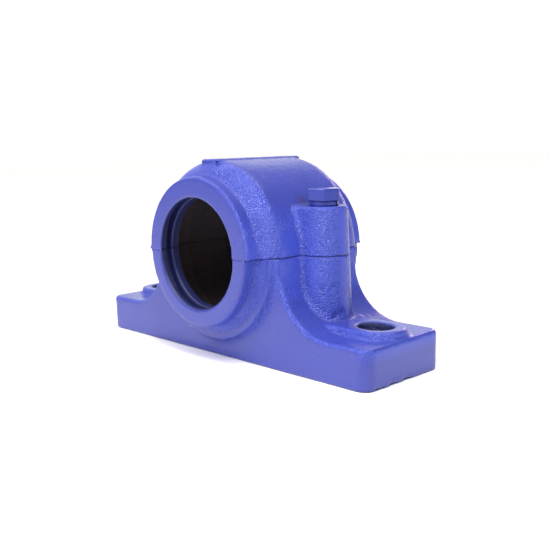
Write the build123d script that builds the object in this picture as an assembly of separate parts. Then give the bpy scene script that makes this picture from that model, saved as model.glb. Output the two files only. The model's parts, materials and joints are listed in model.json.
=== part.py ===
"""Split pillow block housing: two iron castings with their bolts, washers and locating pins.

X runs along the foot, Y along the shaft and Z up. The origin is the middle of the flat underside.
"""

import math
import os

from build123d import *

# Overall sizes, in millimetres
base_length = 255.0
centre_height = 70.0
housing_width = 105.0
cap_height = 59.6

# Foot of the base casting, whose long faces lie inside the housing's end faces
foot_setback = 16.75
base_width = housing_width - 2 * foot_setback
foot_thickness = 24.8
foot_corner_radius = 8.0
foot_edge_radius = 2.2
underside_edge_radius = 1.0
slot_end_distance = 22.5
slot_spacing = base_length - 2 * slot_end_distance
slot_width = 18.0
slot_length = 23.0
slot_boss_wall = 7.5
slot_boss_top = 29.5
slot_boss_draft = 14.0
slot_boss_edge_radius = 1.6
slot_boss_root = 1.0
slot_boss_root_radius = 1.5

# Waist of the base casting, which carries the barrel
waist_length = 120.5
flank_radius = 37.0

# Barrel and end bosses, turned about the shaft
barrel_radius = 59.0
end_boss_length = 9.0
barrel_width = housing_width - 2 * end_boss_length
shoulder_radius = 14.0
cap_end_boss_radius = 49.1
base_end_boss_radius = 47.5
cap_skin_offset = 1.1
end_boss_root_radius = 3.0
end_boss_edge_radius = 1.2
shoulder_root_radius = 5.0

# Bore, seal grooves and bearing chamber
shaft_bore_radius = 36.0
end_wall_thickness = 15.5
end_wall_inside = housing_width / 2 - end_wall_thickness
seal_groove_radius = 42.0
seal_groove_width = 5.0
outer_lip_width = 4.2
chamber_radius = 47.0
chamber_root_radius = 3.0
bearing_seat_radius = 50.0
chamber_side_length = 18.0
bearing_seat_width = 2 * (end_wall_inside - chamber_side_length)

# Columns for the cap bolts
cap_bolt_spacing = 129.0
column_radius = 15.8
column_draft = 2.0
column_rise = 30.0
column_top = centre_height + column_rise
column_root_radius = 3.5
column_edge_radius = 1.4

# Raised pad on the crown
pad_width = 14.5
pad_end_distance = 5.5
pad_length = barrel_width - 2 * pad_end_distance
pad_edge_radius = 0.8

# Cored pockets in the underside
pocket_rib = 12.0
pocket_side_wall = 9.0
pocket_chamber_wall = 8.0
pocket_column_wall = 5.0
pocket_corner_radius = 4.0

# Hexagon head cap bolts and split washers
bolt_radius = 6.0
bolt_head_flats = 19.0
bolt_head_height = 7.5
bolt_head_chamfer = 1.2
bolt_tip_chamfer = 1.0
bolt_turn = 12.5
bolt_engagement = 24.0
bolt_hole_spare_depth = 6.0
bolt_cap_clearance = 0.5
thread_clearance = 0.05
washer_bore_clearance = 0.2
washer_ring_width = 2.9
washer_thickness = 3.1
washer_gap = 1.2
washer_gap_slant = 22.0

# Locating pins across the joint
pin_radius = 3.0
pin_length = 16.0
pin_clearance = 0.03
pin_end_gap = 0.4
pin_end_chamfer = 0.5
pin_x = 53.4
pin_wall_distance = 9.8
pin_y = end_wall_inside - pin_wall_distance

# Chips broken out of the lower edge at the right end: place along Y, radius and depth of bite
edge_chips = [(-22.0, 7.0, 1.3), (-9.0, 5.0, 0.9), (3.0, 8.0, 1.2), (19.0, 6.0, 0.8)]

# How far cuts run past the faces they open, and the reach within which two places count as one
overrun = 1.0
small = 0.01
shaft_axis = Axis((0, 0, centre_height), (0, 1, 0))
joint_plane = Plane.XY.offset(centre_height)


def half_space(above):
    """Block that keeps only what lies above, or below, the joint."""
    size = 4 * base_length
    middle = centre_height + (size / 2 if above else -size / 2)
    return Pos(0, 0, middle) * Box(size, size, size)


def turned(section):
    """Solid turned about the shaft from a section drawn with X as the radius."""
    return revolve(joint_plane * section, axis=shaft_axis)


def band(radius, low, high):
    """Half section of one turned step, from the shaft out to a radius."""
    return Pos(radius / 2, (low + high) / 2) * Rectangle(radius, high - low)


def corners(section, radius, half_width):
    """Corners of a turned section that lie at one radius and one distance from the middle."""
    return [
        vertex
        for vertex in section.vertices()
        if abs(vertex.X - radius) < small and abs(abs(vertex.Y) - half_width) < small
    ]


def barrel_form(end_boss_radius):
    """Barrel with its rounded shoulders and one boss at each end, before any hole."""
    barrel = band(barrel_radius, -barrel_width / 2, barrel_width / 2)
    barrel = fillet(corners(barrel, barrel_radius, barrel_width / 2), shoulder_radius)
    boss = band(end_boss_radius, -housing_width / 2, housing_width / 2)
    boss = fillet(corners(boss, end_boss_radius, housing_width / 2), end_boss_edge_radius)
    section = barrel + boss
    roots = [
        vertex
        for vertex in section.vertices()
        if abs(vertex.X - end_boss_radius) < small and abs(vertex.Y) < barrel_width / 2
    ]
    section = fillet(roots, end_boss_root_radius)
    return turned(section)


def chamber_form():
    """Space inside: shaft bore, seal groove in each end boss, chamber and bearing seat."""
    half_width = housing_width / 2
    section = band(shaft_bore_radius, -half_width - overrun, half_width + overrun)
    section += band(chamber_radius, -end_wall_inside, end_wall_inside)
    section = fillet(corners(section, chamber_radius, end_wall_inside), chamber_root_radius)
    section += band(bearing_seat_radius, -bearing_seat_width / 2, bearing_seat_width / 2)
    groove_outside = half_width - outer_lip_width
    for side in (-1, 1):
        ends = sorted((side * groove_outside, side * (groove_outside - seal_groove_width)))
        section += band(seal_groove_radius, *ends)
    return turned(section)


def column_form(side):
    """Tapered column round one cap bolt, from the foot to its flat top."""
    lean = math.tan(math.radians(column_draft))
    bottom_radius = column_radius + (centre_height - foot_thickness) * lean
    top_radius = column_radius - (column_top - centre_height) * lean
    height = column_top - foot_thickness
    middle = (column_top + foot_thickness) / 2
    reach = cap_bolt_spacing / 2
    column = Pos(reach, 0, middle) * Cone(bottom_radius, top_radius, height)
    web = Polyline(
        (-bottom_radius, foot_thickness),
        (bottom_radius, foot_thickness),
        (top_radius, column_top),
        (-top_radius, column_top),
        close=True,
    )
    column += extrude(Plane.YZ * make_face(web), amount=reach)
    top = column.edges().filter_by(lambda edge: edge.bounding_box().min.Z > column_top - small)
    column = fillet(top, column_edge_radius)
    return column if side > 0 else mirror(column, about=Plane.YZ)


def foot_and_waist():
    """Flat foot whose ends sweep up through hollow flanks into the upright waist."""
    flank_centre_x = waist_length / 2 + flank_radius
    flank_centre_z = foot_thickness + flank_radius
    profile = Pos(0, foot_thickness / 2) * Rectangle(base_length, foot_thickness)
    profile += Pos(0, centre_height / 2) * Rectangle(waist_length, centre_height)
    for side in (-1, 1):
        corner = Pos(side * (waist_length + flank_radius) / 2, foot_thickness + flank_radius / 2)
        block = corner * Rectangle(flank_radius, flank_radius)
        profile += block - Pos(side * flank_centre_x, flank_centre_z) * Circle(flank_radius)
    profile &= Pos(0, centre_height / 2) * Rectangle(base_length, centre_height)
    body = extrude(Plane.XZ * profile, amount=base_width / 2, both=True)
    body = fillet(foot_corner_edges(body), foot_corner_radius)
    body = fillet(rim_edges(body), foot_edge_radius)
    return fillet(underside_edges(body), underside_edge_radius)


def foot_corner_edges(body):
    """The four upright edges at the corners of the foot."""
    upright = body.edges().filter_by(Axis.Z)
    return [edge for edge in upright if abs(edge.center().X) > base_length / 2 - small]


def rim_edges(body):
    """Edges round the top of the foot and up both faces of the waist."""
    face_y = base_width / 2 - small
    end_x = base_length / 2 - small
    rim = []
    for edge in body.edges():
        middle = edge.center()
        at_edge = abs(middle.Y) > face_y or abs(middle.X) > end_x
        at_corner = abs(middle.X) > waist_length / 2 and abs(middle.Z - foot_thickness) < small
        across = edge.bounding_box().size.Y > small and abs(middle.X) < end_x and abs(middle.Y) < small
        level = small < middle.Z < centre_height - small
        if level and not across and (at_edge or at_corner) and not is_corner_side(edge):
            rim.append(edge)
    return rim


def is_corner_side(edge):
    """True for the upright seams of the rounded foot corners."""
    size = edge.bounding_box().size
    return size.X < small and size.Y < small and edge.center().Z < foot_thickness


def underside_edges(body):
    """Edges round the flat underside."""
    return [edge for edge in body.edges() if edge.bounding_box().max.Z < small]


def slot_boss(side):
    """Raised pad round one foundation slot."""
    centre = Pos(side * slot_spacing / 2, 0, slot_boss_top)
    reach = slot_boss_wall * 2
    outline = SlotOverall(slot_length + reach, slot_width + reach)
    outline += Pos(-slot_spacing / 4 * side, 0) * Rectangle(slot_spacing / 2, slot_width + reach)
    depth = slot_boss_top - foot_thickness + slot_boss_root
    boss = extrude(centre * outline, amount=-depth, taper=-slot_boss_draft)
    top = boss.edges().filter_by(lambda edge: edge.bounding_box().min.Z > slot_boss_top - small)
    return fillet(top, slot_boss_edge_radius)


def shoulder_root():
    """Hollow blend, turned about the shaft, from each shoulder into the faces of the waist."""
    face = base_width / 2
    arc_centre = barrel_width / 2 - shoulder_radius
    rise = math.sqrt(shoulder_radius**2 - (face - arc_centre) ** 2)
    contact = barrel_radius - shoulder_radius + rise
    outer = contact + shoulder_root_radius
    section = band(outer, -face - shoulder_root_radius, face + shoulder_root_radius)
    for side in (-1, 1):
        section -= Pos(outer, side * (face + shoulder_root_radius)) * Circle(shoulder_root_radius)
    return turned(section)


def joined(body, piece, root_radius):
    """Casting with one more form cast on, with a hollow blend where the two meet."""
    combined = body + piece
    meeting = new_edges(body, piece, combined=combined)
    roots = [edge for edge in meeting if not lies_on_joint(edge)]
    return fillet(roots, root_radius)


def lies_on_joint(edge):
    """True where an edge lies wholly in the joint plane."""
    box = edge.bounding_box()
    return box.size.Z < small and abs(box.min.Z - centre_height) < small


def underside_pocket(side):
    """Cored pocket between the middle rib, the chamber wall and one column."""
    inner = pocket_rib / 2
    outer = cap_bolt_spacing / 2 - column_radius - pocket_column_wall
    width = base_width - 2 * pocket_side_wall
    plan = Pos((inner + outer) / 2, 0) * Rectangle(outer - inner, width)
    plan = fillet(plan.vertices(), pocket_corner_radius)
    pocket = extrude(plan, amount=centre_height)
    wall = bearing_seat_radius + pocket_chamber_wall
    pocket -= Pos(0, 0, centre_height) * Rot(90, 0, 0) * Cylinder(wall, base_width)
    pocket = pocket.solids().sort_by(Axis.Z)[0]
    return pocket if side > 0 else mirror(pocket, about=Plane.YZ)


def upright_hole(x, y, radius, low, high):
    """Round hole or rod along Z."""
    return Pos(x, y, (low + high) / 2) * Cylinder(radius, high - low)


def pin_places():
    """Middle of each locating pin on the joint, at opposite corners of the chamber."""
    return {"front": (-pin_x, -pin_y), "back": (pin_x, pin_y)}


def pin_holes():
    """Holes for both locating pins, half in each casting."""
    reach = pin_length / 2 + pin_end_gap
    low, high = centre_height - reach, centre_height + reach
    radius = pin_radius + pin_clearance
    return [upright_hole(x, y, radius, low, high) for x, y in pin_places().values()]


def foundation_slot(side):
    """Slot right through the foot for one foundation bolt."""
    slot = Pos(side * slot_spacing / 2, 0, -overrun) * SlotOverall(slot_length, slot_width)
    return extrude(slot, amount=slot_boss_top + 2 * overrun)


def edge_chip(place_y, radius, bite):
    """Ball whose surface reaches past the lower edge of the right end by the bite."""
    reach = (radius - bite) / math.sqrt(2)
    return Pos(base_length / 2 + reach, place_y, -reach) * Sphere(radius)


def base_casting():
    """Lower casting."""
    body = foot_and_waist()
    within = Pos(0, 0, centre_height / 2) * Box(waist_length, housing_width, centre_height)
    body += (barrel_form(base_end_boss_radius) + shoulder_root()) & within
    for side in (-1, 1):
        body = joined(body, column_form(side) & half_space(False), column_root_radius)
    for side in (-1, 1):
        body = joined(body, slot_boss(side), slot_boss_root_radius)
    body -= chamber_form()
    tapped_radius = bolt_radius + thread_clearance
    tapped_bottom = centre_height - bolt_engagement - bolt_hole_spare_depth
    for side in (-1, 1):
        bolt_x = side * cap_bolt_spacing / 2
        body -= upright_hole(bolt_x, 0, tapped_radius, tapped_bottom, centre_height + overrun)
        body -= foundation_slot(side)
        body -= underside_pocket(side)
    for hole in pin_holes():
        body -= hole
    for place_y, radius, bite in edge_chips:
        body -= edge_chip(place_y, radius, bite)
    return body


def cap_casting():
    """Upper casting."""
    skin = Pos(cap_skin_offset, 0, 0) * barrel_form(cap_end_boss_radius)
    body = skin & half_space(True)
    for side in (-1, 1):
        body = joined(body, column_form(side) & half_space(True), column_root_radius)
    body += crown_pad()
    body -= chamber_form()
    clear_radius = bolt_radius + bolt_cap_clearance
    for side in (-1, 1):
        bolt_x = side * cap_bolt_spacing / 2
        body -= upright_hole(bolt_x, 0, clear_radius, centre_height - overrun, column_top + overrun)
    for hole in pin_holes():
        body -= hole
    return body


def crown_pad():
    """Long bare pad along the top of the cap."""
    pad = Pos(0, 0, centre_height + cap_height / 2) * Box(pad_width, pad_length, cap_height)
    top = pad.faces().sort_by(Axis.Z)[-1]
    return fillet(top.edges(), pad_edge_radius)


def cap_bolt(side):
    """Hexagon head bolt whose lower end is in the thread of the base."""
    seat = column_top + washer_thickness
    hexagon = RegularPolygon(bolt_head_flats / 2, 6, major_radius=False)
    corner_reach = bolt_head_flats / math.sqrt(3)
    blank = Pos(0, 0, bolt_head_height / 2) * Cylinder(corner_reach, bolt_head_height)
    crown = blank.edges().sort_by(Axis.Z)[-1]
    blank = chamfer(crown, bolt_head_chamfer / 2, bolt_head_chamfer)
    head = extrude(hexagon, amount=bolt_head_height) & blank
    length = seat - centre_height + bolt_engagement
    shank = Pos(0, 0, -length / 2) * Cylinder(bolt_radius, length)
    shank = chamfer(shank.edges().sort_by(Axis.Z)[0], bolt_tip_chamfer)
    bolt = head + shank
    return Pos(side * cap_bolt_spacing / 2, 0, seat) * Rot(0, 0, bolt_turn) * bolt


def spring_washer(side):
    """Split ring, pressed flat between the bolt head and the top of its column."""
    inner = bolt_radius + washer_bore_clearance
    ring = Cylinder(inner + washer_ring_width, washer_thickness) - Cylinder(inner, washer_thickness)
    ring = Pos(0, 0, washer_thickness / 2) * ring
    reach = inner + 2 * washer_ring_width
    split = Rot(washer_gap_slant, 0, 0) * Box(reach, washer_gap, 4 * washer_thickness)
    ring -= Pos(reach / 2, 0, washer_thickness / 2) * split
    turn = Rot(0, 0, bolt_turn + (180 if side < 0 else 0))
    return Pos(side * cap_bolt_spacing / 2, 0, column_top) * turn * ring


def locating_pin(x, y):
    """Plain pin with chamfered ends, half in each casting."""
    pin = Cylinder(pin_radius, pin_length)
    pin = chamfer(pin.edges().filter_by(GeomType.CIRCLE), pin_end_chamfer)
    return Pos(x, y, centre_height) * pin


os.makedirs("parts", exist_ok=True)
pieces = {"base": base_casting(), "cap": cap_casting()}
for name, side in (("left", -1), ("right", 1)):
    pieces[f"cap_bolt_{name}"] = cap_bolt(side)
    pieces[f"spring_washer_{name}"] = spring_washer(side)
for name, (x, y) in pin_places().items():
    pieces[f"locating_pin_{name}"] = locating_pin(x, y)
for name, piece in pieces.items():
    export_step(piece, f"parts/{name}.step")
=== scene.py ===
"""Dresses a split pillow block housing in cast skin and blue enamel, and sets it in a plain studio."""

import json
import math

import bpy
import numpy as np
from bpy.props import FloatProperty, FloatVectorProperty, IntProperty, PointerProperty
from mathutils import Matrix, Vector, noise


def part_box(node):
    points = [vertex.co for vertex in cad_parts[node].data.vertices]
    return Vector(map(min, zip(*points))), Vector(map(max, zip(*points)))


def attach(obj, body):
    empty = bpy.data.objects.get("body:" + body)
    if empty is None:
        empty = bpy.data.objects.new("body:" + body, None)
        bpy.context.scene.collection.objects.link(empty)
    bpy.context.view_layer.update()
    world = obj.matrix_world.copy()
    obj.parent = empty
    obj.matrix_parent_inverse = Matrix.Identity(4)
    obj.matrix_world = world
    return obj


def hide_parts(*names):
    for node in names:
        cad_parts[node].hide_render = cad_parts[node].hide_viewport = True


bl_info = {
    "name": "Pillow block housing",
    "version": (1, 0, 0),
    "blender": (4, 5, 0),
    "location": "3D View > Sidebar > Housing",
    "description": "Cast and painted finish for a split bearing housing, with its studio",
    "category": "Object",
}

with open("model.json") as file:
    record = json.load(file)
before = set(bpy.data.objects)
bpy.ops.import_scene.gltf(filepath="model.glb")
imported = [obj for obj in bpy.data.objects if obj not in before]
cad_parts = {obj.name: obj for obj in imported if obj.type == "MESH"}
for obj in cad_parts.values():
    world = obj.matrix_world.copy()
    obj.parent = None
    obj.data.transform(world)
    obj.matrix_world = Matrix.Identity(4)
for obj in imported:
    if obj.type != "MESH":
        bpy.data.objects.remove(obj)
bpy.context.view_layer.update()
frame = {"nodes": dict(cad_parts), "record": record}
nodes = frame["nodes"]
mounts = {mount["name"]: mount for mount in frame["record"]["mounts"]}
slot_sizes = mounts["foundation_bolts"]["dims"]

MM = 0.001

# Places of the solids, read from the frame
SHAFT_HEIGHT = mounts["shaft_bore"]["pos_m"][2]
SHAFT_BORE = mounts["shaft_bore"]["dims"]["r_mm"] * MM
SLOT_CENTRE = slot_sizes["spacing_x_mm"] / 2 * MM
SLOT_RADIUS = slot_sizes["hole_r_mm"] * MM
SLOT_STRAIGHT = slot_sizes["slot_length_mm"] * MM - 2 * SLOT_RADIUS
FOOT_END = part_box("base")[1][0]
END_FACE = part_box("base")[1][1]
COLUMN_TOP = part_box("spring_washer_left")[0][2]

# Reach of turned and cored faces from the shaft line, and of the faces cut true round a bolt
GROOVE_RADIUS = 0.0420
RING_REACH = 0.0465
CHAMBER_REACH = 0.0515
BOLT_SEAT_RADIUS = 0.0095

# Distances along the shaft from the middle: where the primer ends, and where the end walls start
PRIMER_END = 0.0374
WALL_INSIDE = 0.0335

# Ranges over which the skin and the painted shade laid by facing change: of how squarely a face looks along
# an axis, and of height
SQUARE = (0.95, 0.995)
LEVEL = (0.3, 0.6)
SLOPED = (0.15, 0.35)
FOOT_TO_FLANK = (0.014, 0.025)

# Ranges of X over which the dirt in the joint sets in: at both columns, and on the right of the ring
DIRT_AT_COLUMNS = (0.050, 0.062)
DIRT_AT_RING = (0.020, 0.042)

# Casting faults: place, radius and depth in metres, with a negative depth for a lump
SAND_PITS = (
    ((0.0740, -0.0134, 0.0502), 0.0013, 0.0008),
    ((0.0791, -0.0074, 0.0512), 0.0012, 0.0008),
    ((0.0812, -0.0031, 0.0345), 0.0022, 0.0012),
    ((0.0805, -0.0075, 0.0335), 0.0020, 0.0010),
    ((0.0076, -0.0368, 0.1270), 0.0020, 0.0016),
    ((-0.0482, -0.0515, 0.0705), 0.0014, -0.0008),
    ((-0.0478, -0.0500, 0.0688), 0.0011, -0.0005),
)

# Pinholes in the paint of the right column, and the painted shade beside its bolt: place and radius in
# metres
PINHOLES = (
    ((0.0738, -0.0136, 0.0503), 0.0010),
    ((0.0791, -0.0074, 0.0512), 0.0008),
    ((0.0755, -0.0120, 0.0532), 0.0006),
    ((0.0748, -0.0129, 0.0470), 0.0008),
    ((0.0799, -0.0047, 0.0588), 0.0006),
    ((0.0797, 0.0056, 0.0574), 0.0006),
)
BOLT_SHADE = ((0.0485, -0.0050, 0.1020), 0.0060)

# Colours of the faults in the paint, and of the painted shade beside the bolt
PINHOLE_COLOUR = (0.008, 0.009, 0.03)
BOLT_SHADE_COLOUR = (0.045, 0.028, 0.05)
JOINT_DIRT_COLOUR = (0.012, 0.013, 0.05)

# Ground steel: its darkest and brightest tone, and the turns of the wheel marks along one metre
DARK_STEEL = (0.42, 0.42, 0.43)
BRIGHT_STEEL = (0.62, 0.62, 0.63)
WHEEL_MARKS = 9000.0

# Chips broken out of the lower edge at the right end: place along the shaft, radius and depth in metres
EDGE_CHIPS = (
    (-0.0265, 0.0022, 0.0010),
    (-0.0205, 0.0016, 0.0007),
    (-0.0125, 0.0026, 0.0011),
    (-0.0085, 0.0015, 0.0007),
    (0.0005, 0.0024, 0.0011),
    (0.0045, 0.0016, 0.0008),
)

# Soft lights: azimuth and elevation in degrees, then distance, width and height in metres
RIGHT_LIGHT = (-30.0, 64.0, 1.1, 0.13, 0.55)
LEFT_LIGHT = (-100.0, 38.0, 1.1, 0.13, 0.65)
BACK_LIGHT = (108.0, 16.0, 1.3, 0.12, 0.5)
BACK_LIGHT_COLOUR = (1.0, 0.66, 0.8)
TOP_LIGHT_COLOUR = (1.0, 0.91, 0.83)

# Angles of the overhead light in degrees: how wide it is, and its lean about X and Y
TOP_LIGHT_WIDTH = 92.0
TOP_LIGHT_LEAN = (12.0, -6.0)

# Camera: place in metres, then yaw, downward pitch and roll in degrees
CAMERA_PLACE = (0.3920, -0.3589, 0.1394)
CAMERA_YAW = 136.08
CAMERA_PITCH = 9.66
CAMERA_ROLL = -1.4

# Azimuth of the bright backdrop and of the dim side of the room, in degrees
BACKDROP_AZIMUTH = 136.0
DIM_AZIMUTH = 35.0

FLOOR_HALF_WIDTH = 6.0


class CastingSettings(bpy.types.PropertyGroup):
    """Sizes of the cast skin."""

    base_grain: FloatProperty(
        name="Base grain",
        description="Spacing of the points that make up the skin of the base",
        default=1.1 * MM,
        unit="LENGTH",
    )
    cap_grain: FloatProperty(
        name="Cap grain",
        description="Spacing of the points that make up the skin of the cap",
        default=0.9 * MM,
        unit="LENGTH",
    )
    softening: IntProperty(
        name="Softening",
        description="How many times the edges are eased, as the sand mould and the paint ease them",
        default=3,
        min=0,
    )
    swell_height: FloatProperty(
        name="Swell height",
        description="Height of the slow waves left by the mould",
        default=0.16 * MM,
        unit="LENGTH",
    )
    swell_length: FloatProperty(
        name="Swell length",
        description="Length of the slow waves left by the mould",
        default=20 * MM,
        unit="LENGTH",
    )
    ripple_height: FloatProperty(
        name="Ripple height",
        description="Height of the small lumps left by the sand",
        default=0.09 * MM,
        unit="LENGTH",
    )
    ripple_length: FloatProperty(
        name="Ripple length",
        description="Length of the small lumps left by the sand",
        default=3.6 * MM,
        unit="LENGTH",
    )
    joint_fill: FloatProperty(
        name="Joint fill",
        description="How far the skin next to the joint is brought out again after the softening",
        default=0.42 * MM,
        unit="LENGTH",
    )
    joint_fill_reach: FloatProperty(
        name="Joint fill reach",
        description="Height of the strip next to the joint that is brought out again",
        default=0.9 * MM,
        unit="LENGTH",
    )
    bolt_grain: FloatProperty(
        name="Bolt grain",
        description="Spacing of the points that make up a painted bolt or washer",
        default=0.36 * MM,
        unit="LENGTH",
    )


class EnamelSettings(bpy.types.PropertyGroup):
    """Colours and gloss of the paint."""

    # The deep blue shows in full wherever no painted shade is laid by facing
    blue: FloatVectorProperty(
        name="Deep blue",
        description="Colour of the enamel where it lies thick on the rough skin",
        default=(0.040, 0.066, 0.465),
        subtype="COLOR",
        min=0.0,
        max=1.0,
    )
    # Painted shade: a darker, duller blue laid on flat sides, upward faces, round the bore and on the foot,
    # by which way a face looks
    shaded_blue: FloatVectorProperty(
        name="Flat blue",
        description="Colour of the enamel where it lies thin on flat and cut faces",
        default=(0.034, 0.047, 0.315),
        subtype="COLOR",
        min=0.0,
        max=1.0,
    )
    primer: FloatVectorProperty(
        name="Primer",
        description="Colour of the primer in the bearing chamber",
        default=(0.033, 0.024, 0.031),
        subtype="COLOR",
        min=0.0,
        max=1.0,
    )
    rust_stain: FloatVectorProperty(
        name="Rust stain",
        description="Colour of the faint stain on the primer",
        default=(0.045, 0.025, 0.027),
        subtype="COLOR",
        min=0.0,
        max=1.0,
    )
    roughness: FloatProperty(
        name="Roughness",
        description="Roughness of the enamel",
        default=0.22,
        min=0.0,
        max=1.0,
        subtype="FACTOR",
    )
    gloss: FloatProperty(
        name="Gloss",
        description="Strength of the light thrown back by the enamel",
        default=0.55,
        min=0.0,
        max=1.0,
        subtype="FACTOR",
    )
    sand_grain: FloatProperty(
        name="Sand grain",
        description="How many grains of the cast skin lie along one metre",
        default=1200.0,
    )
    sand_height: FloatProperty(
        name="Sand height",
        description="Height of the grains under the paint",
        default=0.78 * MM,
        unit="LENGTH",
    )


class StudioSettings(bpy.types.PropertyGroup):
    """Lights, floor and camera."""

    floor_colour: FloatVectorProperty(
        name="Floor",
        description="Colour of the plain floor",
        default=(0.94, 0.95, 0.99),
        subtype="COLOR",
        min=0.0,
        max=1.0,
    )
    sky_strength: FloatProperty(
        name="Room light",
        description="Strength of the even white light of the room",
        default=0.40,
    )
    backdrop_strength: FloatProperty(
        name="Backdrop light",
        description="Strength of the white light from behind the housing",
        default=1.15,
    )
    right_power: FloatProperty(
        name="Right light",
        description="Power of the tall soft light on the right",
        default=9.4,
        subtype="POWER",
    )
    left_power: FloatProperty(
        name="Left light",
        description="Power of the tall soft light on the left",
        default=4.9,
        subtype="POWER",
    )
    top_strength: FloatProperty(
        name="Top light",
        description="Strength of the even soft light overhead",
        default=2.25,
    )
    back_power: FloatProperty(
        name="Back light",
        description="Power of the soft light behind",
        default=1.6,
        subtype="POWER",
    )
    lens: FloatProperty(
        name="Lens",
        description="Focal length in millimetres on a 36 mm wide picture",
        default=51.16,
        subtype="DISTANCE_CAMERA",
    )


def settings():
    """The scene's settings for this housing."""
    return bpy.context.scene.housing


class Weave:
    """Places and joins the nodes of one tree."""

    def __init__(self, tree):
        self.tree = tree

    def add(self, kind, **values):
        node = self.tree.nodes.new(kind)
        for key, value in values.items():
            setattr(node, key, value)
        return node

    def join(self, source, socket):
        """Links a socket to the other, or sets a plain value on it."""
        if isinstance(source, bpy.types.NodeSocket):
            self.tree.links.new(source, socket)
        else:
            socket.default_value = source

    def math(self, operation, first, second=0.0):
        node = self.add("ShaderNodeMath", operation=operation)
        self.join(first, node.inputs[0])
        self.join(second, node.inputs[1])
        return node.outputs[0]

    def unsigned(self, value):
        """The value without its sign."""
        return self.math("ABSOLUTE", value)

    def product(self, first, *others):
        for other in others:
            first = self.math("MULTIPLY", first, other)
        return first

    def length(self, first, second):
        """Length of the long side of a right triangle with these two short sides."""
        squares = self.math("ADD", self.product(first, first), self.product(second, second))
        return self.math("SQRT", squares)

    def between(self, value, low, high, start=0.0, end=1.0):
        """Value carried from the range low to high onto start to end, and held at both ends."""
        node = self.add("ShaderNodeMapRange", clamp=True)
        for socket, number in zip(node.inputs, (value, low, high, start, end)):
            self.join(number, socket)
        return node.outputs[0]

    def towards(self, direction, azimuth):
        """How closely a direction points to an azimuth in degrees, from -1 to 1."""
        node = self.add("ShaderNodeVectorMath", operation="DOT_PRODUCT")
        self.join(direction, node.inputs[0])
        turn = math.radians(azimuth)
        node.inputs[1].default_value = (math.cos(turn), math.sin(turn), 0.0)
        return node.outputs["Value"]


class Finish(Weave):
    """The nodes of one material."""

    def __init__(self, name):
        self.material = bpy.data.materials.new(name)
        self.material.use_nodes = True
        super().__init__(self.material.node_tree)
        self.shader = self.tree.nodes["Principled BSDF"]
        self.place = self.add("ShaderNodeTexCoord").outputs["Object"]

    def separate(self, vector):
        node = self.add("ShaderNodeSeparateXYZ")
        self.join(vector, node.inputs[0])
        return node.outputs

    def axes(self):
        """X, Y and Z of the place on the object, in metres."""
        return self.separate(self.place)

    def shaft_distance(self):
        """Distance from the shaft line, and distance along it from the middle."""
        x, y, z = self.axes()
        height = self.math("SUBTRACT", z, SHAFT_HEIGHT)
        return self.length(x, height), self.unsigned(y)

    def grain(self, scale, detail=2.0):
        """Cloudy noise with the given number of waves along one metre."""
        node = self.add("ShaderNodeTexNoise")
        self.join(self.place, node.inputs["Vector"])
        node.inputs["Scale"].default_value = scale
        node.inputs["Detail"].default_value = detail
        return node.outputs[0]

    def pebbles(self, scale):
        """Close-set round grains, highest in the middle of each."""
        node = self.add("ShaderNodeTexVoronoi", feature="SMOOTH_F1")
        self.join(self.place, node.inputs["Vector"])
        node.inputs["Scale"].default_value = scale
        node.inputs["Smoothness"].default_value = 0.4
        return self.math("SUBTRACT", 1.0, node.outputs["Distance"])

    def spot(self, place, radius, edge):
        """1 close to the place, 0 beyond the radius, with an edge of the given width."""
        node = self.add("ShaderNodeVectorMath", operation="DISTANCE")
        self.join(self.place, node.inputs[0])
        node.inputs[1].default_value = place
        return self.between(node.outputs["Value"], radius - edge, radius, 1.0, 0.0)

    def sunk(self):
        """1 in narrow hollows, where the paint lies in shade, and 0 elsewhere."""
        pointiness = self.add("ShaderNodeNewGeometry").outputs["Pointiness"]
        return self.between(pointiness, 0.44, 0.495, 1.0, 0.0)

    def mix(self, amount, first, second):
        node = self.add("ShaderNodeMix", data_type="RGBA")
        self.join(amount, node.inputs["Factor"])
        self.join(first, node.inputs[6])
        self.join(second, node.inputs[7])
        return node.outputs[2]

    def brighten(self, colour, factor):
        node = self.add("ShaderNodeVectorMath", operation="SCALE")
        self.join(colour, node.inputs[0])
        self.join(factor, node.inputs["Scale"])
        return node.outputs[0]

    def bump(self, height, distance):
        node = self.add("ShaderNodeBump")
        node.inputs["Strength"].default_value = 1.0
        node.inputs["Distance"].default_value = distance
        self.join(height, node.inputs["Height"])
        return node.outputs[0]

    def finish(self, colour, roughness, normal):
        self.join(colour, self.shader.inputs["Base Color"])
        self.join(roughness, self.shader.inputs["Roughness"])
        self.join(normal, self.shader.inputs["Normal"])
        return self.material


def solid_colour(colour, factor=1.0):
    """Colour with its alpha, brightened or darkened by a factor."""
    return tuple(channel * factor for channel in colour) + (1.0,)


def slot_walls(weave):
    """1 on the walls inside both foundation slots, 0 elsewhere."""
    x, y, _ = weave.axes()
    off_centre = weave.unsigned(weave.math("SUBTRACT", weave.unsigned(x), SLOT_CENTRE))
    past_straight = weave.math("MAXIMUM", weave.math("SUBTRACT", off_centre, SLOT_STRAIGHT / 2), 0.0)
    reach = weave.length(past_straight, y)
    return weave.between(reach, SLOT_RADIUS + 0.4 * MM, SLOT_RADIUS + 0.9 * MM, 1.0, 0.0)


def chamber_walls(weave):
    """1 on the primed walls of the bearing chamber, up to a brushed edge, and 0 elsewhere."""
    radius, along = weave.shaft_distance()
    inside = weave.between(radius, CHAMBER_REACH - 0.3 * MM, CHAMBER_REACH, 1.0, 0.0)
    brush_marks = weave.between(weave.grain(160.0), 0.0, 1.0, -0.8 * MM, 0.8 * MM)
    brush_edge = weave.math("ADD", along, brush_marks)
    primed = weave.between(brush_edge, PRIMER_END, PRIMER_END + 0.5 * MM, 1.0, 0.0)
    return weave.product(inside, primed)


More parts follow.
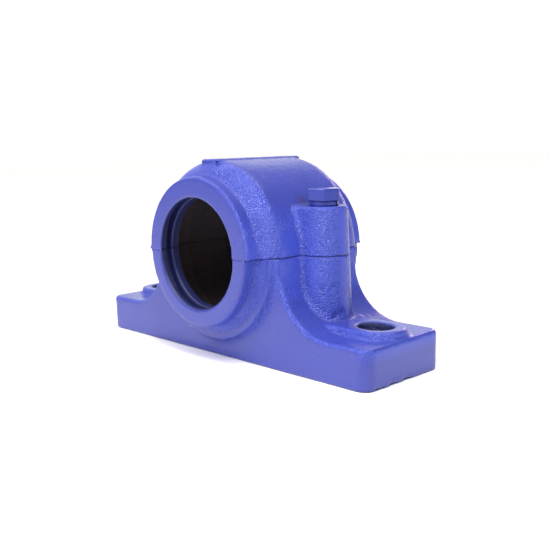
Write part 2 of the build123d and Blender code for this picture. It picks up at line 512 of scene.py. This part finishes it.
def skin_shares(weave):
    """How much of the full blue a face keeps, less where painted shade is laid on flat sides, upward faces,
    round the bore and on the foot, and how rough the cast skin under it is, both from 0 to 1.
    """
    radius, along = weave.shaft_distance()
    height = weave.axes()[2]
    facing = weave.separate(weave.add("ShaderNodeNewGeometry").outputs["Normal"])
    facing_end = weave.unsigned(facing[0])
    facing_side = weave.unsigned(facing[1])

    outer_wall = weave.between(along, WALL_INSIDE, WALL_INSIDE + 1.0 * MM)
    cut_side = weave.product(facing_side, outer_wall)
    # Square side faces keep only a quarter of the full blue: painted shade
    side_shade = weave.between(cut_side, *SQUARE, 1.0, 0.25)
    square = weave.math("MAXIMUM", facing_end, cut_side)
    flat_side = weave.between(square, *SQUARE, 1.0, 0.25)

    level = weave.between(facing[2], *LEVEL, 1.0, 0.15)
    sloped = weave.between(facing_side, *SLOPED)
    upper = weave.math("MAXIMUM", level, sloped)
    off_ring = weave.between(radius, RING_REACH, RING_REACH + 1.0 * MM, 0.15, 1.0)
    above_foot = weave.between(height, *FOOT_TO_FLANK, 0.2, 1.0)
    patches = weave.between(weave.grain(38.0), 0.35, 0.65, 0.65, 1.0)

    # Share of the full blue; the rest is the shaded blue, painted shade on flat sides, upward faces, round
    # the bore and on the foot
    unshaded_share = weave.product(side_shade, upper, off_ring, above_foot)
    rough_skin = weave.product(flat_side, upper, off_ring, above_foot, patches)
    return unshaded_share, rough_skin


def add_pinholes_and_bolt_shade(weave, blue):
    """Pinholes in the right column and painted shade beside its bolt, laid over the blue."""
    pinholes = 0.0
    for place, reach in PINHOLES:
        pinholes = weave.math("ADD", pinholes, weave.spot(place, reach, 0.5 * reach))
    blue = weave.mix(weave.product(pinholes, 0.9), blue, solid_colour(PINHOLE_COLOUR))

    # A mottled dark spot left of the right bolt head, between the head and the barrel: painted shade
    place, reach = BOLT_SHADE
    specks = weave.between(weave.grain(220.0), 0.35, 0.6, 0.5, 1.0)
    bolt_shade = weave.product(weave.spot(place, reach, reach), specks, 0.8)
    return weave.mix(bolt_shade, blue, solid_colour(BOLT_SHADE_COLOUR))


def add_joint_dirt(weave, blue):
    """Dark, wavering line where the cap meets the base, strongest beside the columns."""
    x, _, height = weave.axes()
    waver = weave.between(weave.grain(90.0), 0.0, 1.0, -0.35 * MM, 0.35 * MM)
    off_joint = weave.math("SUBTRACT", weave.math("ADD", height, waver), SHAFT_HEIGHT)
    line = weave.between(weave.unsigned(off_joint), 0.15 * MM, 0.4 * MM, 1.0, 0.0)
    columns = weave.between(weave.unsigned(x), *DIRT_AT_COLUMNS, 0.0, 0.95)
    right_ring = weave.between(x, *DIRT_AT_RING, 0.0, 0.55)
    strength = weave.math("MAXIMUM", columns, right_ring)
    broken = weave.between(weave.grain(60.0), 0.4, 0.6, 0.5, 1.0)
    return weave.mix(weave.product(line, strength, broken), blue, solid_colour(JOINT_DIRT_COLOUR))


def bore_and_slot_shade(weave):
    """1 in the bore behind the end faces and in the slots, where the blue is darkened as painted shade, 0
    elsewhere.
    """
    radius, along = weave.shaft_distance()
    near_bore = weave.between(radius, RING_REACH - 1.0 * MM, RING_REACH, 1.0, 0.0)
    behind_face = weave.between(along, END_FACE - 0.6 * MM, END_FACE - 0.1 * MM, 1.0, 0.0)
    return weave.math("MAXIMUM", weave.product(near_bore, behind_face), slot_walls(weave))


def primer_coat(weave):
    """Dark primer with faint rust stains."""
    look = settings().enamel
    stain = weave.between(weave.grain(45.0, 4.0), 0.52, 0.68)
    return weave.mix(stain, solid_colour(look.primer), solid_colour(look.rust_stain))


def cast_enamel():
    """Blue enamel over sand-cast iron outside, dark primer in the chamber, dirt in the joint."""
    look = settings().enamel
    weave = Finish("Cast blue enamel")
    unshaded_share, rough_skin = skin_shares(weave)
    recess_shade = bore_and_slot_shade(weave)
    chamber = chamber_walls(weave)

    pebbles = weave.pebbles(look.sand_grain)
    lumps = weave.product(weave.grain(0.45 * look.sand_grain, 1.0), 0.8)
    sand = weave.product(weave.math("SUBTRACT", weave.math("ADD", pebbles, lumps), 1.0), rough_skin)

    # The shaded blue is painted shade, laid by which way a face looks
    flat, deep = solid_colour(look.shaded_blue), solid_colour(look.blue)
    blue = weave.mix(weave.between(unshaded_share, 0.3, 0.9), flat, deep)
    blue = weave.brighten(blue, weave.between(weave.grain(14.0, 3.0), 0.3, 0.7, 0.95, 1.05))
    # The hollows between the sand grains are darkened to half the blue: painted shade
    hollows = weave.product(weave.between(pebbles, 0.35, 0.75, 0.3, 0.0), rough_skin)
    blue = weave.mix(hollows, blue, solid_colour(look.blue, 0.5))
    blue = weave.mix(weave.product(weave.sunk(), 0.55), blue, solid_colour(look.blue, 0.35))
    blue = add_joint_dirt(weave, add_pinholes_and_bolt_shade(weave, blue))
    # The bore behind the end faces and the slots get a very dark blue: painted shade
    blue = weave.mix(weave.product(recess_shade, 0.85), blue, solid_colour(look.blue, 0.13))
    colour = weave.mix(chamber, blue, primer_coat(weave))

    sheen = weave.between(weave.grain(55.0, 3.0), 0.3, 0.7, look.roughness - 0.05, look.roughness + 0.07)
    dull = weave.math("MAXIMUM", chamber, weave.product(recess_shade, 0.4))
    roughness = weave.between(dull, 0.0, 1.0, sheen, 0.95)
    weave.shader.inputs["Specular IOR Level"].default_value = look.gloss
    return weave.finish(colour, roughness, weave.bump(sand, look.sand_height))


def bolt_enamel():
    """The same blue enamel, run thick over turned and forged steel."""
    look = settings().enamel
    weave = Finish("Bolt blue enamel")
    cloud = weave.between(weave.grain(60.0, 3.0), 0.3, 0.7)
    blue = weave.mix(cloud, solid_colour(look.blue, 0.6), solid_colour(look.blue, 0.7))
    blue = weave.mix(weave.product(weave.sunk(), 0.6), blue, solid_colour(look.blue, 0.3))
    roughness = weave.between(weave.grain(120.0, 3.0), 0.3, 0.7, look.roughness - 0.1, look.roughness)
    return weave.finish(blue, roughness, weave.bump(weave.grain(420.0, 3.0), 0.10 * MM))


def ground_steel():
    """Bare ground steel of the locating pins, with rings left by the wheel."""
    weave = Finish("Ground steel")
    marks = weave.math("SINE", weave.product(weave.axes()[2], WHEEL_MARKS))
    rings = weave.math("ADD", marks, weave.grain(300.0))
    tones = solid_colour(DARK_STEEL), solid_colour(BRIGHT_STEEL)
    colour = weave.mix(weave.between(rings, -1.0, 2.0), *tones)
    roughness = weave.between(weave.grain(200.0), 0.3, 0.7, 0.24, 0.36)
    weave.shader.inputs["Metallic"].default_value = 1.0
    return weave.finish(colour, roughness, weave.bump(rings, 0.01 * MM))


def skinned_copy(node_name, piece_name, grain, softening):
    """New piece with an even skin over the node's shape and eased edges."""
    source = nodes[node_name]
    draft = bpy.data.objects.new(piece_name, source.data.copy())
    bpy.context.scene.collection.objects.link(draft)
    draft.matrix_world = source.matrix_world.copy()
    remesh = draft.modifiers.new("Even skin", "REMESH")
    remesh.mode = "VOXEL"
    remesh.voxel_size = grain
    ease = draft.modifiers.new("Eased edges", "SMOOTH")
    ease.factor = 0.5
    ease.iterations = softening
    bpy.context.view_layer.update()
    shape = draft.evaluated_get(bpy.context.evaluated_depsgraph_get())
    mesh = bpy.data.meshes.new_from_object(shape)
    draft.modifiers.clear()
    draft.data = mesh
    mesh.materials.clear()
    mesh.polygons.foreach_set("use_smooth", [True] * len(mesh.polygons))
    if not mesh.vertices:
        raise RuntimeError(f"{piece_name} has no skin")
    return draft


def mesh_points(mesh):
    """Places and outward directions of a mesh's points, as arrays."""
    places = np.empty(len(mesh.vertices) * 3)
    mesh.vertices.foreach_get("co", places)
    outward = np.empty(len(mesh.vertices) * 3)
    mesh.vertex_normals.foreach_get("vector", outward)
    return places.reshape(-1, 3), outward.reshape(-1, 3)


def cast_waves(places, length, seed):
    """One height from -1 to 1 for each place, in waves of the given length."""
    shift = Vector((seed, 2.0 * seed, 3.0 * seed))
    return np.array([noise.noise(Vector(place) / length + shift) for place in places])


def ramp(values, low, high):
    """0 below low, 1 above high and even in between."""
    return np.clip((values - low) / (high - low), 0.0, 1.0)


def bolt_places():
    """X of both cap bolts."""
    return [sum(corner[0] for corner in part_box(name)) / 2 for name in ("cap_bolt_left", "cap_bolt_right")]


def cast_share(places):
    """1 on cast skin and 0 on faces cut true: underside, joint, end faces, bores and bolt seats."""
    x, y, z = places.T
    radius = np.hypot(x, z - SHAFT_HEIGHT)
    rough = ramp(z, 0.2 * MM, 1.5 * MM) * ramp(np.abs(z - SHAFT_HEIGHT), 0.0, 0.6 * MM)
    rough *= 0.25 + 0.75 * ramp(END_FACE - np.abs(y), 0.1 * MM, 1.0 * MM)
    rough *= ramp(radius, GROOVE_RADIUS + 0.5 * MM, GROOVE_RADIUS + 1.5 * MM)
    for bolt_x in bolt_places():
        off_seat = ramp(np.hypot(x - bolt_x, y), BOLT_SEAT_RADIUS, BOLT_SEAT_RADIUS + 1.0 * MM)
        rough *= np.maximum(off_seat, ramp(np.abs(z - COLUMN_TOP), 2.0 * MM, 4.0 * MM))
    return rough


def filled_joint(places):
    """How far the skin beside the joint is brought out, most on the rings of both end faces."""
    look = settings().casting
    off_joint = places[:, 2] - SHAFT_HEIGHT
    end_face = ramp(np.abs(places[:, 1]), END_FACE - 1.5 * MM, END_FACE - 0.5 * MM)
    end_face *= ramp(np.hypot(places[:, 0], off_joint), SHAFT_BORE + 1.0 * MM, SHAFT_BORE + 2.5 * MM)
    near_joint = np.exp(-((off_joint / look.joint_fill_reach) ** 2))
    return look.joint_fill * (1.0 + 2.5 * end_face) * near_joint


def keep_in_box(piece, places, node_name):
    """Moves the piece's points to the places, held within the node's box."""
    low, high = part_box(node_name)
    places = np.clip(places, np.array(low), np.array(high))
    piece.data.vertices.foreach_set("co", places.ravel())
    piece.data.update()


def roughen(piece, node_name):
    """Waves, lumps, sand pits and chips of the casting."""
    look = settings().casting
    places, outward = mesh_points(piece.data)
    height = look.swell_height * cast_waves(places, look.swell_length, 3.0)
    height += look.ripple_height * cast_waves(places, look.ripple_length, 7.0)
    height *= cast_share(places)
    height += filled_joint(places)
    chips = tuple(((FOOT_END, along, 0.0), radius, depth) for along, radius, depth in EDGE_CHIPS)
    for place, radius, depth in SAND_PITS + chips:
        distance = np.linalg.norm(places - np.array(place), axis=1)
        height -= depth * np.exp(-((distance / radius) ** 2))
    keep_in_box(piece, places + outward * height[:, None], node_name)


def dress(piece, node_name, material):
    """The piece takes the node's place, its finish and its body."""
    piece.data.materials.append(material)
    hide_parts(node_name)
    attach(piece, "root")


def cast_piece(node_name, grain):
    """Cast, painted piece in place of a casting's node."""
    piece = skinned_copy(node_name, f"{node_name}_casting", grain, settings().casting.softening)
    roughen(piece, node_name)
    material = bpy.data.materials.get("Cast blue enamel") or cast_enamel()
    dress(piece, node_name, material)


def painted_steel_piece(node_name):
    """Painted bolt or washer in place of its node."""
    look = settings().casting
    piece = skinned_copy(node_name, f"{node_name}_painted", look.bolt_grain, 2 * look.softening)
    places, _ = mesh_points(piece.data)
    keep_in_box(piece, places, node_name)
    material = bpy.data.materials.get("Bolt blue enamel") or bolt_enamel()
    dress(piece, node_name, material)


class HOUSING_OT_base(bpy.types.Operator):
    """Cast skin, chipped edge and enamel of the base"""

    bl_idname = "housing.base"
    bl_label = "Base casting"

    def execute(self, context):
        cast_piece("base", settings().casting.base_grain)
        return {"FINISHED"}


class HOUSING_OT_cap(bpy.types.Operator):
    """Cast skin and enamel of the cap, with its crown pad"""

    bl_idname = "housing.cap"
    bl_label = "Cap casting"

    def execute(self, context):
        cast_piece("cap", settings().casting.cap_grain)
        return {"FINISHED"}


class HOUSING_OT_cap_bolts(bpy.types.Operator):
    """Both hexagon head cap bolts, painted over"""

    bl_idname = "housing.cap_bolts"
    bl_label = "Cap bolts"

    def execute(self, context):
        for side in ("left", "right"):
            painted_steel_piece(f"cap_bolt_{side}")
        return {"FINISHED"}


class HOUSING_OT_spring_washers(bpy.types.Operator):
    """Both split spring washers, painted over"""

    bl_idname = "housing.spring_washers"
    bl_label = "Spring washers"

    def execute(self, context):
        for side in ("left", "right"):
            painted_steel_piece(f"spring_washer_{side}")
        return {"FINISHED"}


class HOUSING_OT_locating_pins(bpy.types.Operator):
    """Both ground locating pins in the joint"""

    bl_idname = "housing.locating_pins"
    bl_label = "Locating pins"

    def execute(self, context):
        steel = ground_steel()
        for place in ("front", "back"):
            pin = nodes[f"locating_pin_{place}"]
            for face_slot in pin.material_slots:
                face_slot.material = steel
        return {"FINISHED"}


def soft_light(name, setting, power, colour=(1.0, 1.0, 1.0)):
    """Rectangular light that faces the housing from its direction."""
    azimuth, elevation, distance, width, height = setting
    lamp = bpy.data.lights.new(name, "AREA")
    lamp.shape = "RECTANGLE"
    lamp.size = width
    lamp.size_y = height
    lamp.energy = power
    lamp.color = colour
    light = bpy.data.objects.new(name, lamp)
    bpy.context.scene.collection.objects.link(light)
    turn, rise = math.radians(azimuth), math.radians(elevation)
    towards = Vector((math.cos(turn) * math.cos(rise), math.sin(turn) * math.cos(rise), math.sin(rise)))
    middle = Vector((0.0, 0.0, SHAFT_HEIGHT))
    light.location = middle + towards * distance
    light.rotation_euler = towards.to_track_quat("Z", "Y").to_euler()


def overhead_light(strength):
    """Even, wide light from above."""
    lamp = bpy.data.lights.new("Top light", "SUN")
    lamp.energy = strength
    lamp.angle = math.radians(TOP_LIGHT_WIDTH)
    lamp.color = TOP_LIGHT_COLOUR
    light = bpy.data.objects.new("Top light", lamp)
    bpy.context.scene.collection.objects.link(light)
    lean_x, lean_y = TOP_LIGHT_LEAN
    light.rotation_euler = (math.radians(lean_x), math.radians(lean_y), 0.0)


def place_camera(lens):
    """Camera at the angle and distance of the photograph."""
    data = bpy.data.cameras.new("Camera")
    data.lens = lens
    data.sensor_width = 36.0
    data.clip_start = 0.01
    data.dof.use_dof = False
    camera = bpy.data.objects.new("Camera", data)
    bpy.context.scene.collection.objects.link(camera)
    yaw, pitch, roll = (math.radians(angle) for angle in (CAMERA_YAW, CAMERA_PITCH, CAMERA_ROLL))
    forward = Vector((math.cos(yaw) * math.cos(pitch), math.sin(yaw) * math.cos(pitch), -math.sin(pitch)))
    level_right = forward.cross(Vector((0.0, 0.0, 1.0))).normalized()
    level_up = level_right.cross(forward)
    right = math.cos(roll) * level_right + math.sin(roll) * level_up
    up = -math.sin(roll) * level_right + math.cos(roll) * level_up
    turn = Matrix((right, up, -forward)).transposed().to_4x4()
    camera.matrix_world = Matrix.Translation(CAMERA_PLACE) @ turn
    bpy.context.scene.camera = camera


def pale_floor(colour):
    """Large plain floor under the housing."""
    half = FLOOR_HALF_WIDTH
    corners = [(-half, -half, 0.0), (half, -half, 0.0), (half, half, 0.0), (-half, half, 0.0)]
    mesh = bpy.data.meshes.new("Floor")
    mesh.from_pydata(corners, [], [(0, 1, 2, 3)])
    floor = bpy.data.objects.new("Floor", mesh)
    bpy.context.scene.collection.objects.link(floor)
    weave = Finish("Pale floor")
    cloud = weave.between(weave.grain(1.2), 0.3, 0.7)
    tone = weave.mix(cloud, solid_colour(colour, 0.99), solid_colour(colour, 1.0))
    mesh.materials.append(weave.finish(tone, 0.7, weave.bump(weave.grain(500.0), 0.01 * MM)))


def room_light(look):
    """Even white room with a bright backdrop behind the housing and a dim side."""
    world = bpy.data.worlds.new("Room light")
    world.use_nodes = True
    weave = Weave(world.node_tree)
    direction = weave.add("ShaderNodeTexCoord").outputs["Generated"]
    backdrop = weave.towards(direction, BACKDROP_AZIMUTH)
    backdrop = weave.between(backdrop, 0.72, 0.86, look.sky_strength, look.backdrop_strength)
    dim_side = weave.between(weave.towards(direction, DIM_AZIMUTH), 0.5, 0.9, 1.0, 0.45)
    sky = world.node_tree.nodes["Background"]
    sky.inputs["Color"].default_value = (1.0, 1.0, 1.0, 1.0)
    weave.join(weave.product(backdrop, dim_side), sky.inputs["Strength"])
    return world


class HOUSING_OT_studio(bpy.types.Operator):
    """Plain floor, soft lights and the camera"""

    bl_idname = "housing.studio"
    bl_label = "Studio"

    def execute(self, context):
        look = settings().studio
        pale_floor(look.floor_colour)
        context.scene.world = room_light(look)
        soft_light("Right light", RIGHT_LIGHT, look.right_power)
        soft_light("Left light", LEFT_LIGHT, look.left_power)
        soft_light("Back light", BACK_LIGHT, look.back_power, BACK_LIGHT_COLOUR)
        overhead_light(look.top_strength)
        place_camera(look.lens)
        context.scene.view_settings.view_transform = "Standard"
        return {"FINISHED"}


OPERATORS = (
    HOUSING_OT_base,
    HOUSING_OT_cap,
    HOUSING_OT_cap_bolts,
    HOUSING_OT_spring_washers,
    HOUSING_OT_locating_pins,
    HOUSING_OT_studio,
)


class HousingSettings(bpy.types.PropertyGroup):
    """All settings of the housing."""

    casting: PointerProperty(type=CastingSettings)
    enamel: PointerProperty(type=EnamelSettings)
    studio: PointerProperty(type=StudioSettings)


class HOUSING_PT_panel(bpy.types.Panel):
    """Buttons that build the housing's pieces and its studio"""

    bl_idname = "HOUSING_PT_panel"
    bl_label = "Pillow block housing"
    bl_space_type = "VIEW_3D"
    bl_region_type = "UI"
    bl_category = "Housing"

    def draw(self, context):
        look = settings()
        for group in (look.casting, look.enamel, look.studio):
            box = self.layout.box()
            for key in group.bl_rna.properties.keys():
                if key not in ("rna_type", "name"):
                    box.prop(group, key)
        for operator in OPERATORS:
            self.layout.operator(operator.bl_idname)


SETTINGS = (CastingSettings, EnamelSettings, StudioSettings, HousingSettings)
CLASSES = SETTINGS + OPERATORS + (HOUSING_PT_panel,)


def register():
    for item in CLASSES:
        bpy.utils.register_class(item)
    bpy.types.Scene.housing = PointerProperty(type=HousingSettings)


def unregister():
    del bpy.types.Scene.housing
    for item in reversed(CLASSES):
        bpy.utils.unregister_class(item)


def main():
    register()
    bpy.ops.housing.base()
    bpy.ops.housing.cap()
    bpy.ops.housing.cap_bolts()
    bpy.ops.housing.spring_washers()
    bpy.ops.housing.locating_pins()
    bpy.ops.housing.studio()


if __name__ == "__main__":
    main()
